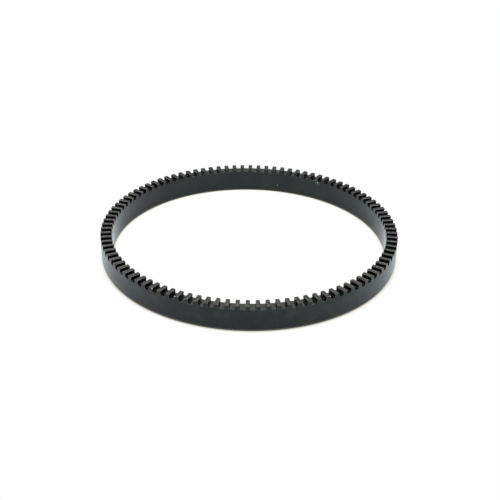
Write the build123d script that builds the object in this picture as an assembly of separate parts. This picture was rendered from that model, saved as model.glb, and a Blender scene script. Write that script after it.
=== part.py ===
from build123d import *
import os

# A toothed sensor ring that is pressed on a truck's wheel hub, in millimetres. It stands on its plain end
# with its axis on Z and its teeth pointing up. A sensor on the axle reads the teeth as they pass.

# Driving dimensions
bore_diameter = 162.0     # the seat that grips the hub
wall_thickness = 6.5      # bore to outside, which is also how long a tooth is along the radius
ring_height = 15.5        # plain end to tooth tips
tooth_count = 100
slot_width = 2.95         # the same at the bore and at the outside, as a disc cutter leaves it
slot_depth = 2.25         # tooth tips down to the slot floors
root_chamfer = 0.3        # bevelled corner of the cutter, at both sides of a slot floor
lead_in = 1.0             # chamfer at the bore's plain end, where the hub goes in
foot_chamfer = 1.4        # chamfer round the outside of the plain end
tip_break = 0.2           # chamfer on every edge of a tooth's tip
overrun = 1.0             # how far the cutter runs past the metal, at each end and above

# Sizes that follow from them
bore_radius = bore_diameter / 2
outer_radius = bore_radius + wall_thickness
slot_floor = ring_height - slot_depth
pitch_angle = 360 / tooth_count


def turned_blank():
    """The ring as it comes off the lathe: plain walls and four chamfered edges, with no teeth yet."""
    with BuildPart() as blank:
        with BuildSketch(Plane.XZ):
            with BuildLine():
                Polyline(
                    (bore_radius + lead_in, 0),
                    (outer_radius - foot_chamfer, 0),
                    (outer_radius, foot_chamfer),
                    (outer_radius, ring_height - tip_break),
                    (outer_radius - tip_break, ring_height),
                    (bore_radius + tip_break, ring_height),
                    (bore_radius, ring_height - tip_break),
                    (bore_radius, lead_in),
                    close=True,
                )
            make_face()
        revolve(axis=Axis.Z)
    return blank.part


def slot_section():
    """The outline of one slot: a flat floor, bevelled roots, parallel sides and a broken mouth."""
    with BuildSketch(Plane.YZ.offset(bore_radius - overrun)) as section:
        with Locations((0, slot_floor)):
            Rectangle(slot_width, slot_depth + overrun, align=(Align.CENTER, Align.MIN))
        chamfer(section.vertices().group_by(Axis.Z)[0], root_chamfer)
        half_width = slot_width / 2
        with BuildLine():
            Polyline(
                (-half_width, ring_height - tip_break),
                (half_width, ring_height - tip_break),
                (half_width + tip_break + overrun, ring_height + overrun),
                (-half_width - tip_break - overrun, ring_height + overrun),
                close=True,
            )
        make_face()
    return section.sketch


def slot_cutter():
    """One slot's cutter, laid along +X through the whole wall."""
    return extrude(slot_section(), amount=wall_thickness + 2 * overrun)


def tone_ring():
    """The finished ring, turned so that one tooth is centred on +X."""
    slots = PolarLocations(0, tooth_count, start_angle=pitch_angle / 2) * slot_cutter()
    return turned_blank() - slots


os.makedirs("parts", exist_ok=True)
ring = tone_ring()
ring.label = "tone_ring"
export_step(ring, "parts/tone_ring.step")
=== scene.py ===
import math

import bmesh
import bpy
from mathutils import Matrix, Vector


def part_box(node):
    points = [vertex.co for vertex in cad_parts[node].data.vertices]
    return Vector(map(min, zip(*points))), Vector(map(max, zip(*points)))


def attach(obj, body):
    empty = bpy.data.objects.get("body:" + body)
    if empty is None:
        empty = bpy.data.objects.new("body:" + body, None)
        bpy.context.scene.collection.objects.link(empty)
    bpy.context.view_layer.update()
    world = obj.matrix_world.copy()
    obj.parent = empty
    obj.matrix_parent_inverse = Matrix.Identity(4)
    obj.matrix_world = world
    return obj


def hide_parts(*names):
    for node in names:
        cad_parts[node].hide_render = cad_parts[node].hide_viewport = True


# A toothed sensor ring of blackened steel that stands on its plain end, in metres. Its teeth point up.

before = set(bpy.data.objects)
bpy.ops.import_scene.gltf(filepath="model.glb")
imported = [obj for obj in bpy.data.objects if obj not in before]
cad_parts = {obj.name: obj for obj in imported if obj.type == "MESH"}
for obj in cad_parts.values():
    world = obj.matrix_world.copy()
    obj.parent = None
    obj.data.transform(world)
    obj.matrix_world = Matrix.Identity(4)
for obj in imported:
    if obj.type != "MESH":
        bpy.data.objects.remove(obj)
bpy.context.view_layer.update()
ring_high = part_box("tone_ring")[1]

# Sizes of the ring. The frame gives the outside and the height.
outer_radius = ring_high.x
ring_height = ring_high.z
wall_thickness = 0.0065
bore_radius = outer_radius - wall_thickness
tooth_count = 100
slot_width = 0.00295
slot_depth = 0.00225
slot_floor = ring_height - slot_depth
lead_in = 0.001
foot_chamfer = 0.0014
root_round = 0.00015
edge_break = 0.00014

# How the mesh is divided, and what counts as one place or as a sharp edge
pitch_angle = 2 * math.pi / tooth_count
columns_per_pitch = 2
seam = 0.000001
sharp_angle = math.radians(30)

# How squarely a face looks up or outwards, as a cosine
level = 0.9
aslant = 0.5
upright = 0.1

# Pale scratches in the bore: azimuth, height and how far each patch reaches
scuffs = (
    (math.radians(57.0), 0.0131, 0.0026),
    (math.radians(77.0), 0.0049, 0.0005),
)

# Tooth corners that are nicked down to bright steel. Each has its place, in teeth from +X, and its reach.
nicked_teeth = (
    (-34.77, 0.0008),
    (-32.14, 0.0005),
    (-16.77, 0.0008),
)
spot_core = 0.6           # the share of a spot's reach that is marked all over

# Turning marks, as steps of noise in a metre: few along a mark, many across it
marks_along = 14.0
marks_across = 1800.0
end_face_share = 0.6      # how fast they change along the radius, as a share of along the axis

# Where a noise pattern's values mostly lie
noise_low = 0.25
noise_high = 0.75

# The photograph's camera
lens_mm = 64.89
sensor_mm = 36.0
view_elevation = math.radians(29.657)
view_azimuth = math.radians(0.011)
view_roll = math.radians(0.967)
view_distance = 0.54296
aim_right = 0.00065
aim_up = -0.00087

# The floor, and the shade that is painted on it beside the ring
floor_radius = 4.0
floor_drop = 0.00002      # keeps it clear of the ring's plain end
floor_glow = 0.5
shade_margin = 0.0004     # the shade is counted from this far beyond the ring's outside and bore
shade_reach = 0.002
bore_shade_rate = 1.5     # how much faster it ends in the bore
front_shade_width = 0.3   # its width in front and behind, as a share of its width left and right
shade_shift = 0.008       # moves its narrowest place to the left

# The light: the picture shows a brightness of 1 as white
tent_strength = 2.0
tent_slant = 0.085        # how much lower its bands hang on the left
softbox_power = 7.4
softbox_size = 0.5
softbox_distance = 1.2
softbox_aside = 0.6       # the lamps' direction from the ring: aside, to the front and up
softbox_front = 0.25
softbox_up = 0.73


# Shaping the ring

def wall_section(bm):
    """The outline of the ring's wall up to the slot floors, as a closed line of edges."""
    outline = (
        (bore_radius + lead_in, 0),
        (outer_radius - foot_chamfer, 0),
        (outer_radius, foot_chamfer),
        (outer_radius, slot_floor),
        (bore_radius, slot_floor),
        (bore_radius, lead_in),
    )
    corners = [bm.verts.new((radius, 0, height)) for radius, height in outline]
    sides = [bm.edges.new((corners[i - 1], corners[i])) for i in range(len(corners))]
    return corners + sides


def slot_sides():
    """The two planes where a tooth centred on +X ends, each as a point and a direction out of the tooth."""
    planes = []
    for side in (-1, 1):
        angle = side * pitch_angle / 2
        outward = side * Vector((-math.sin(angle), math.cos(angle), 0))
        planes.append((-outward * slot_width / 2, outward))
    return planes


def is_level(face, height):
    return all(abs(v.co.z - height) < seam for v in face.verts)


def inside(point, planes):
    return all((point - place).dot(outward) < 0 for place, outward in planes)


def raise_tooth(bm):
    """Cuts the sector at the slot sides and pulls the strip between them up to the tooth's tip."""
    planes = slot_sides()
    for place, outward in planes:
        everything = bm.verts[:] + bm.edges[:] + bm.faces[:]
        bmesh.ops.bisect_plane(bm, geom=everything, dist=seam, plane_co=place, plane_no=outward)
    top = [f for f in bm.faces if is_level(f, slot_floor) and inside(f.calc_center_median(), planes)]
    pulled = bmesh.ops.extrude_face_region(bm, geom=top)["geom"]
    moving = [v for v in pulled if isinstance(v, bmesh.types.BMVert)]
    bmesh.ops.translate(bm, verts=moving, vec=(0, 0, slot_depth))
    left_behind = [f for f in top if f.is_valid]
    bmesh.ops.delete(bm, geom=left_behind, context="FACES_ONLY")


def tooth_sector(bm):
    """One pitch of the ring: a tooth centred on +X and half a slot at each side of it."""
    section = wall_section(bm)
    points = [v for v in section if isinstance(v, bmesh.types.BMVert)]
    bmesh.ops.rotate(bm, verts=points, cent=(0, 0, 0), matrix=Matrix.Rotation(-pitch_angle / 2, 3, "Z"))
    bmesh.ops.spin(
        bm, geom=section, cent=(0, 0, 0), axis=(0, 0, 1), dvec=(0, 0, 0),
        angle=pitch_angle, steps=columns_per_pitch, use_merge=False, use_duplicate=False,
    )
    raise_tooth(bm)


def repeat_sector(bm):
    """Copies the sector all the way round and joins the copies."""
    copies = tooth_count - 1
    everything = bm.verts[:] + bm.edges[:] + bm.faces[:]
    bmesh.ops.spin(
        bm, geom=everything, cent=(0, 0, 0), axis=(0, 0, 1), dvec=(0, 0, 0),
        angle=copies * pitch_angle, steps=copies, use_merge=False, use_duplicate=True,
    )
    bmesh.ops.remove_doubles(bm, verts=bm.verts[:], dist=seam)
    bmesh.ops.recalc_face_normals(bm, faces=bm.faces[:])


def sharp_edges(bm, convex):
    """The sharp edges where the metal stands out or, if convex is False, where it folds inwards."""
    found = []
    for edge in bm.edges:
        if len(edge.link_faces) == 2 and edge.calc_face_angle() > sharp_angle:
            if edge.is_convex == convex:
                found.append(edge)
    return found


def soften(bm, edges, width):
    """Rounds the edges and returns the narrow faces that this makes."""
    return bmesh.ops.bevel(
        bm, geom=edges, offset=width, offset_type="OFFSET", affect="EDGES",
        segments=2, profile=0.5, material=-1, clamp_overlap=True,
    )["faces"]


# The finishes' places in the ring's list of materials
walls, bore, tips, floors, flanks, rubbed = range(6)


def finish_of(face):
    """The turned walls, smooth bore, tips, slot floors and slot sides each have their own finish."""
    centre = face.calc_center_median()
    facing_up = face.normal.z
    facing_out = face.normal.dot(Vector((centre.x, centre.y, 0)).normalized())
    if facing_up > level and centre.z > slot_floor + seam:
        return tips
    if facing_up > level and centre.z > slot_floor - seam:
        return floors
    if abs(facing_up) < upright and abs(facing_out) < aslant and centre.z > slot_floor:
        return flanks
    if facing_out < -aslant:
        return bore
    return walls


def ring_mesh():
    """The whole ring. Only the edges above the slot floors are rubbed."""
    bm = bmesh.new()
    tooth_sector(bm)
    repeat_sector(bm)
    for face in bm.faces:
        face.material_index = finish_of(face)
    soften(bm, sharp_edges(bm, convex=False), root_round)
    for face in soften(bm, sharp_edges(bm, convex=True), edge_break):
        if face.calc_center_median().z > slot_floor:
            face.material_index = rubbed
    for face in bm.faces:
        face.smooth = True
    mesh = bpy.data.meshes.new("toothed_ring")
    bm.to_mesh(mesh)
    bm.free()
    return mesh


# Finishes

class Nodes:
    """A node tree, with short ways to add nodes and join them."""

    def __init__(self, tree):
        self.tree = tree
        self.tree.nodes.clear()

    def node(self, kind, **settings):
        node = self.tree.nodes.new("ShaderNode" + kind)
        for name, value in settings.items():
            setattr(node, name, value)
        return node

    def join(self, start, end):
        self.tree.links.new(start, end)

    def math(self, operation, first, second):
        node = self.node("Math", operation=operation)
        for socket, value in zip(node.inputs, (first, second)):
            if isinstance(value, bpy.types.NodeSocket):
                self.join(value, socket)
            else:
                socket.default_value = value
        return node.outputs[0]

    def split(self, vector):
        """A vector's x, y and z."""
        parts = self.node("SeparateXYZ")
        self.join(vector, parts.inputs[0])
        return parts.outputs

    def noise(self, vector, scale, detail, rough):
        node = self.node("TexNoise")
        node.inputs["Scale"].default_value = scale
        node.inputs["Detail"].default_value = detail
        node.inputs["Roughness"].default_value = rough
        self.join(vector, node.inputs["Vector"])
        return node.outputs["Fac"]

    def ramp(self, factor, stops):
        node = self.node("ValToRGB")
        elements = node.color_ramp.elements
        while len(elements) < len(stops):
            elements.new(1.0)
        for element, (position, colour) in zip(elements, stops):
            element.position = position
            element.color = (*colour, 1.0)
        self.join(factor, node.inputs["Fac"])
        return node.outputs["Color"]

    def span(self, factor, start, end, low, high):
        """The factor's stretch from start to end, turned into low to high."""
        node = self.node("MapRange")
        node.inputs["From Min"].default_value = start
        node.inputs["From Max"].default_value = end
        node.inputs["To Min"].default_value = low
        node.inputs["To Max"].default_value = high
        self.join(factor, node.inputs["Value"])
        return node.outputs["Result"]

    def unless_seen(self, shader, seen):
        """The first shader for what the ring reflects, and the second for what the picture itself shows."""
        either = self.node("MixShader")
        self.join(self.node("LightPath").outputs["Is Camera Ray"], either.inputs[0])
        self.join(shader, either.inputs[1])
        self.join(seen, either.inputs[2])
        return either.outputs[0]


class Finish(Nodes):
    """A material with its one shader."""

    def __init__(self, name):
        self.material = bpy.data.materials.new(name)
        self.material.use_nodes = True
        super().__init__(self.material.node_tree)
        self.shader = self.node("BsdfPrincipled")
        self.output = self.node("OutputMaterial")
        self.join(self.shader.outputs[0], self.output.inputs["Surface"])

    def place(self):
        """Object coordinates."""
        return self.node("TexCoord").outputs["Object"]

    def bump(self, height, depth):
        node = self.node("Bump")
        node.inputs["Distance"].default_value = depth
        self.join(height, node.inputs["Height"])
        self.join(node.outputs["Normal"], self.shader.inputs["Normal"])

    def feed(self, name, value):
        """Lets a pattern set one of the shader's inputs."""
        self.join(value, self.shader.inputs[name])

    def set(self, **values):
        for name, value in values.items():
            self.shader.inputs[name.replace("_", " ")].default_value = value


def radius_of(finish, x, y):
    squared = finish.math("ADD", finish.math("MULTIPLY", x, x), finish.math("MULTIPLY", y, y))
    return finish.math("SQRT", squared, 0.0)


def near_spot(finish, place, radius, azimuth, height, reach):
    """1 in the middle of a spot, falling to 0 at the end of its reach."""
    gap = finish.node("VectorMath", operation="DISTANCE")
    finish.join(place, gap.inputs[0])
    gap.inputs[1].default_value = (radius * math.cos(azimuth), radius * math.sin(azimuth), height)
    return finish.span(gap.outputs["Value"], reach * spot_core, reach, 1.0, 0.0)


def across_the_tool(finish, place):
    """Coordinates that change fast across the turning marks and slowly along them, on walls and ends."""
    x, y, z = finish.split(place)
    across = finish.math("ADD", z, finish.math("MULTIPLY", radius_of(finish, x, y), end_face_share))
    vector = finish.node("CombineXYZ")
    finish.join(finish.math("MULTIPLY", x, marks_along), vector.inputs[0])
    finish.join(finish.math("MULTIPLY", y, marks_along), vector.inputs[1])
    finish.join(finish.math("MULTIPLY", across, marks_across), vector.inputs[2])
    return vector.outputs[0]


def turned(name, tones, smoothest, roughest, index):
    """Black oxide over fine turning marks, in the tones that are asked for."""
    finish = Finish(name)
    place = finish.place()
    marks = finish.noise(across_the_tool(finish, place), scale=1.0, detail=2.0, rough=0.5)
    finish.feed("Base Color", tones(finish, place))
    finish.feed("Roughness", finish.span(marks, noise_low, noise_high, smoothest, roughest))
    finish.bump(marks, depth=0.000002)
    finish.set(IOR=index)
    return finish.material


def oxide_tones(finish, place):
    """Blue-black and brown-black patches with a fine mottle."""
    patches = finish.noise(place, scale=70.0, detail=5.0, rough=0.8)
    stops = (
        (0.38, (0.0002, 0.0008, 0.0014)),
        (0.50, (0.0022, 0.0023, 0.0025)),
        (0.62, (0.0075, 0.0070, 0.0052)),
    )
    return finish.ramp(patches, stops)


def pale_scratches(finish, place):
    """1 on a scratch inside a scuffed patch, and 0 elsewhere."""
    scratches = finish.noise(place, scale=1600.0, detail=1.0, rough=0.5)
    pale = finish.span(scratches, 0.58, 0.64, 0.0, 1.0)
    patches = [near_spot(finish, place, bore_radius, *scuff) for scuff in scuffs]
    return finish.math("MULTIPLY", finish.math("MAXIMUM", *patches), pale)


def scuffed_tones(finish, place):
    """Black in the ramp's lower half, and pale scratches in the upper half."""
    patches = finish.noise(place, scale=70.0, detail=4.0, rough=0.6)
    paleness = finish.math("MAXIMUM", finish.math("MULTIPLY", patches, 0.5), pale_scratches(finish, place))
    stops = (
        (0.18, (0.0002, 0.0008, 0.0018)),
        (0.32, (0.0048, 0.0042, 0.0024)),
        (0.50, (0.0048, 0.0042, 0.0024)),
        (1.00, (0.3500, 0.3500, 0.3300)),
    )
    return finish.ramp(paleness, stops)


def turned_black():
    return turned("turned_black", oxide_tones, smoothest=0.24, roughest=0.30, index=1.292)


def bore_black():
    return turned("bore_black", scuffed_tones, smoothest=0.02, roughest=0.05, index=1.32)


def milled(name, smoothest, roughest, palest):
    """Black oxide over a milled face, with small lighter flecks."""
    finish = Finish(name)
    flecks = finish.noise(finish.place(), scale=650.0, detail=4.0, rough=0.6)
    colour = finish.ramp(flecks, ((0.44, (0.0005, 0.0006, 0.0005)), (0.64, (palest, palest, palest))))
    finish.feed("Base Color", colour)
    finish.feed("Roughness", finish.span(flecks, noise_low, noise_high, smoothest, roughest))
    finish.bump(flecks, depth=0.000001)
    finish.set(IOR=1.5, Specular_Tint=(0.98, 1, 0.96, 1))
    return finish.material


def tip_black():
    return milled("tip_black", smoothest=0.04, roughest=0.10, palest=0.036)


def slot_floor_black():
    return milled("slot_floor_black", smoothest=0.17, roughest=0.22, palest=0.010)


def slot_side_black():
    """A matt black that hardly reflects."""
    finish = Finish("slot_side_black")
    mottle = finish.noise(finish.place(), scale=300.0, detail=3.0, rough=0.5)
    colour = finish.ramp(mottle, ((0.3, (0.0005, 0.0005, 0.0005)), (0.7, (0.0015, 0.0015, 0.001))))
    finish.feed("Base Color", colour)
    finish.set(IOR=1.16, Roughness=0.45, Specular_Tint=(1, 1, 0.93, 1))
    return finish.material


def nicks(finish):
    """1 where a tooth's outer corner is nicked down to the steel."""
    place = finish.place()
    bare = 0.0
    for tooth, reach in nicked_teeth:
        spot = near_spot(finish, place, outer_radius, tooth * pitch_angle, ring_height, reach)
        bare = finish.math("MAXIMUM", bare, spot)
    return bare


def rubbed_edge():
    """Edges worn smooth in places, with bare steel where they are nicked."""
    finish = Finish("rubbed_edge")
    wear = finish.noise(finish.place(), scale=420.0, detail=4.0, rough=0.65)
    bare = nicks(finish)
    oxide = finish.ramp(wear, ((0.35, (0.001, 0.001, 0.001)), (0.72, (0.012, 0.012, 0.011))))
    steel = finish.ramp(bare, ((0.0, (0, 0, 0)), (1.0, (0.5, 0.5, 0.48))))
    brighter = finish.node("VectorMath", operation="MAXIMUM")
    finish.join(oxide, brighter.inputs[0])
    finish.join(steel, brighter.inputs[1])
    finish.feed("Base Color", brighter.outputs["Vector"])
    polish = finish.span(wear, 0.40, 0.60, 0.2, 0.04)
    torn = finish.math("MULTIPLY", bare, 0.5)
    finish.feed("Roughness", finish.math("MAXIMUM", polish, torn))
    finish.feed("Metallic", bare)
    finish.set(IOR=1.65)
    return finish.material


# Floor, light and camera

def shade_width(finish, x):
    """The shade's width round the ring: 1 left and right, and narrow in front and behind."""
    sideways = finish.math("DIVIDE", finish.math("ADD", x, shade_shift), outer_radius)
    wider = finish.math("MULTIPLY", finish.math("MULTIPLY", sideways, sideways), 1 - front_shade_width)
    return finish.math("ADD", wider, front_shade_width)


def contact_shade(finish):
    """White, with a narrow painted shade beside the ring that deepens under its chamfers."""
    x, y, z = finish.split(finish.place())
    radius = radius_of(finish, x, y)
    outside = finish.math("SUBTRACT", radius, outer_radius + shade_margin)
    within = finish.math("SUBTRACT", bore_radius - shade_margin, radius)
    away = finish.math("MAXIMUM", outside, finish.math("MULTIPLY", within, bore_shade_rate))
    spread = finish.math("MAXIMUM", away, finish.math("DIVIDE", away, shade_width(finish, x)))
    # Painted shade: dark and warm under the chamfers, fading to white within 2 mm of the ring
    stops = (
        (0.00, (0.120, 0.115, 0.085)),
        (0.20, (0.700, 0.690, 0.630)),
        (0.41, (0.860, 0.855, 0.800)),
        (0.56, (0.930, 0.930, 0.890)),
        (0.70, (0.965, 0.965, 0.940)),
        (1.00, (1.000, 1.000, 1.000)),
    )
    return finish.ramp(finish.span(spread, -foot_chamfer, shade_reach, 0.0, 1.0), stops)


def floor_white():
    """A white sheet that glows in part. The picture is exposed for the black ring, so the sheet itself
    shows as plain white, while the ring reflects it as it is lit and glows. Both have a painted soft shade
    beside the ring, in the glow's colour."""
    finish = Finish("floor_white")
    shade = contact_shade(finish)
    finish.set(Base_Color=(0.59, 0.70, 0.75, 1), Roughness=1.0, Specular_IOR_Level=0.0)
    finish.set(Emission_Strength=floor_glow)
    # The sheet's glow and its plain white as seen are both coloured with the painted shade
    finish.feed("Emission Color", shade)
    seen = finish.node("Emission")
    finish.join(shade, seen.inputs["Color"])
    surface = finish.unless_seen(finish.shader.outputs[0], seen.outputs[0])
    finish.join(surface, finish.output.inputs["Surface"])
    return finish.material


def lay_floor():
    bm = bmesh.new()
    bmesh.ops.create_circle(bm, cap_ends=True, segments=64, radius=floor_radius)
    bmesh.ops.translate(bm, verts=bm.verts[:], vec=(0, 0, -floor_drop))
    mesh = bpy.data.meshes.new("floor")
    bm.to_mesh(mesh)
    bm.free()
    mesh.materials.append(floor_white())
    floor = bpy.data.objects.new("floor", mesh)
    bpy.context.scene.collection.objects.link(floor)


def light_room():
    """A light tent that is dim near the ground and has dark and bright bands about 30 degrees up, where the
    tooth tips and slot floors mirror it. The picture itself shows it as plain white."""
    world = bpy.data.worlds.new("light_tent")
    world.use_nodes = True
    tent = Nodes(world.node_tree)
    x, y, z = tent.split(tent.node("TexCoord").outputs["Generated"])
    height = tent.math("SUBTRACT", z, tent.math("MULTIPLY", x, tent_slant))
    stops = (
        (0.415, (0.26, 0.29, 0.270)),
        (0.430, (0.08, 0.08, 0.075)),
        (0.447, (0.14, 0.14, 0.131)),
        (0.480, (0.98, 0.98, 0.921)),
        (0.492, (0.80, 0.80, 0.752)),
        (0.515, (0.39, 0.39, 0.367)),
        (0.537, (0.38, 0.38, 0.357)),
        (0.555, (0.64, 0.64, 0.602)),
    )
    bands = tent.node("Background")
    tent.join(tent.ramp(height, stops), bands.inputs["Color"])
    bands.inputs["Strength"].default_value = tent_strength
    seen = tent.node("Background")
    seen.inputs["Color"].default_value = (1, 1, 1, 1)
    surface = tent.unless_seen(bands.outputs[0], seen.outputs[0])
    tent.join(surface, tent.node("OutputWorld").inputs["Surface"])
    bpy.context.scene.world = world
    bpy.context.scene.view_settings.view_transform = "Standard"


def hang_softbox(name, side):
    """A square lamp in front of the ring and to one side, aimed at it from about 45 degrees up."""
    towards = Vector((side * softbox_aside, -softbox_front, softbox_up)).normalized()
    lamp = bpy.data.lights.new(name, "AREA")
    lamp.size = softbox_size
    lamp.energy = softbox_power
    softbox = bpy.data.objects.new(name, lamp)
    softbox.location = towards * softbox_distance
    softbox.rotation_euler = towards.to_track_quat("Z", "Y").to_euler()
    bpy.context.scene.collection.objects.link(softbox)


def set_camera():
    data = bpy.data.cameras.new("camera")
    data.lens = lens_mm
    data.sensor_width = sensor_mm
    data.clip_start = 0.01
    camera = bpy.data.objects.new("camera", data)
    turn = Matrix.Rotation(view_azimuth, 4, "Z")
    tilt = Matrix.Rotation(math.pi / 2 - view_elevation, 4, "X")
    roll = Matrix.Rotation(view_roll, 4, "Z")
    back_off = Matrix.Translation((aim_right, aim_up, view_distance))
    camera.matrix_world = turn @ tilt @ roll @ back_off
    bpy.context.scene.collection.objects.link(camera)
    bpy.context.scene.camera = camera


def add_ring():
    ring = bpy.data.objects.new("toothed_ring", ring_mesh())
    for finish in (turned_black, bore_black, tip_black, slot_floor_black, slot_side_black, rubbed_edge):
        ring.data.materials.append(finish())
    bpy.context.scene.collection.objects.link(ring)
    weighted = ring.modifiers.new("even_faces", "WEIGHTED_NORMAL")
    weighted.mode = "FACE_AREA"
    weighted.weight = 50
    weighted.keep_sharp = True
    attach(ring, "root")
    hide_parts("tone_ring")


add_ring()
lay_floor()
light_room()
hang_softbox("left_softbox", -1)
hang_softbox("right_softbox", 1)
set_camera()
